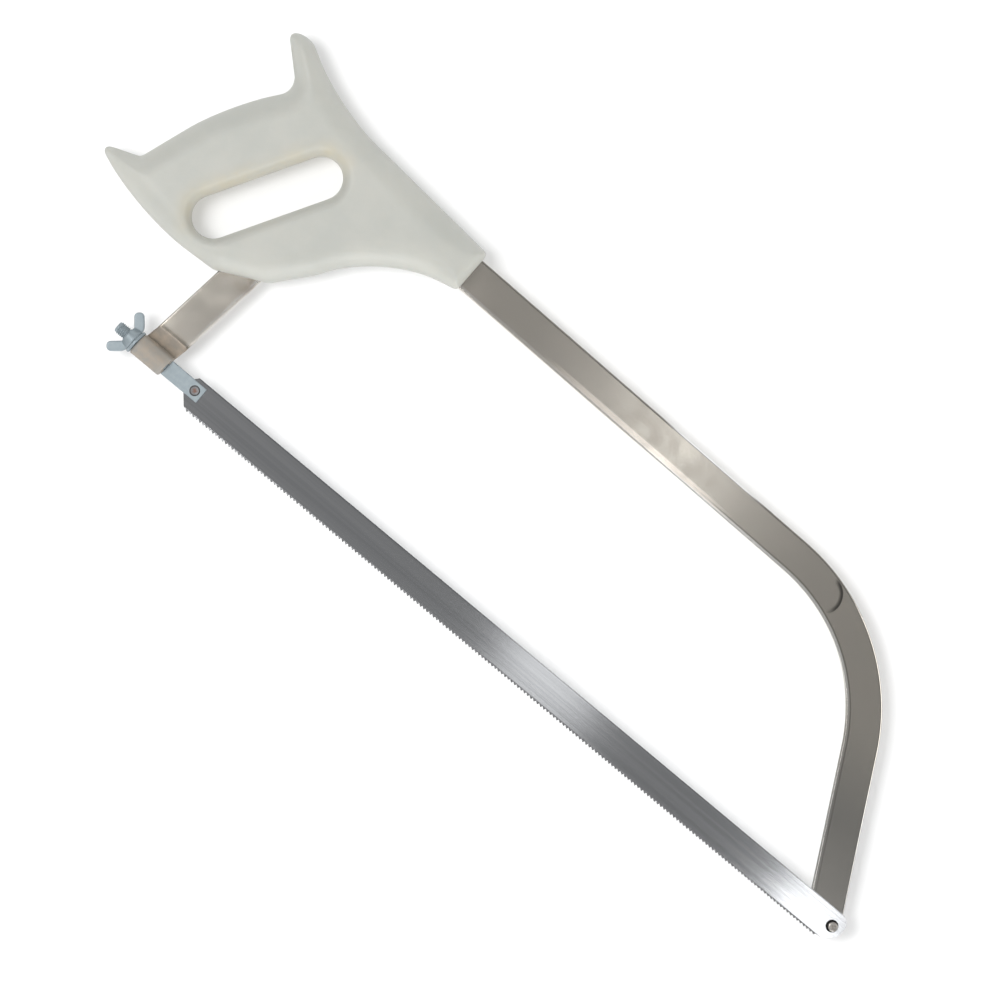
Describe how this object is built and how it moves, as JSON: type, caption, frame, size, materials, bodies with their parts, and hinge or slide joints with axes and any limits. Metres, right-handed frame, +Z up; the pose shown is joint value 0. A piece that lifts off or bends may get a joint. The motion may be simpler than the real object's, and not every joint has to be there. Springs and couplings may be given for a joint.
{
  "type": "butcher saw",
  "caption": "Butcher saw with a bent flat-steel bow, a white moulded grip with a hand slot, and a toothed blade strained by a draw bar and wing nut.",
  "frame": {"origin": "under the middle of the saw's bounding box, on the surface it lies on", "axes": "+X along the blade from the grip to the nose, +Y from the blade to the top of the bow, +Z up through the saw's flat side"},
  "size_m": [0.6414, 0.2212, 0.028],
  "materials": {
    "bow_steel": "satin, warm, lightly stained",
    "grip_plastic": "off-white, slightly translucent, yellowed round the slot",
    "zinc_plate": "dull bluish zinc plating",
    "blade_steel": "bright, with fine lines along its length",
    "rivet_steel": "dull, with a trace of rust",
    "stud_steel": "satin, worn"
  },
  "bodies": {
    "bow": {"frame_bar": "bow_steel", "handle": "grip_plastic", "front_stud": "stud_steel", "washer": "zinc_plate"},
    "nut": {"wing_nut": "zinc_plate"},
    "drawer": {"draw_bar": "zinc_plate", "blade_rivet": "rivet_steel"},
    "saw_blade": {"blade": "blade_steel"}
  },
  "joints": [
    {"name": "wing_nut_turn", "type": "hinge", "parent": "bow", "child": "nut", "pos_m": [-0.23627, -0.09577, 0.0161], "axis": [-0.9971, 0.0767, 0], "range_deg": [0, 400]},
    {"name": "draw_bar_slide", "type": "slide", "parent": "bow", "child": "drawer", "axis": [1, 0, 0], "range_m": [0, 0.00139]},
    {"name": "blade_unhook", "type": "hinge", "parent": "drawer", "child": "saw_blade", "pos_m": [-0.18646, -0.09577, 0.0161], "axis": [0, -1, 0], "range_deg": [0, 0.8]}
  ],
  "couplings": [
    {"joint": "wing_nut_turn", "follows": "draw_bar_slide", "rad_per_m": 5026.5}
  ]
}
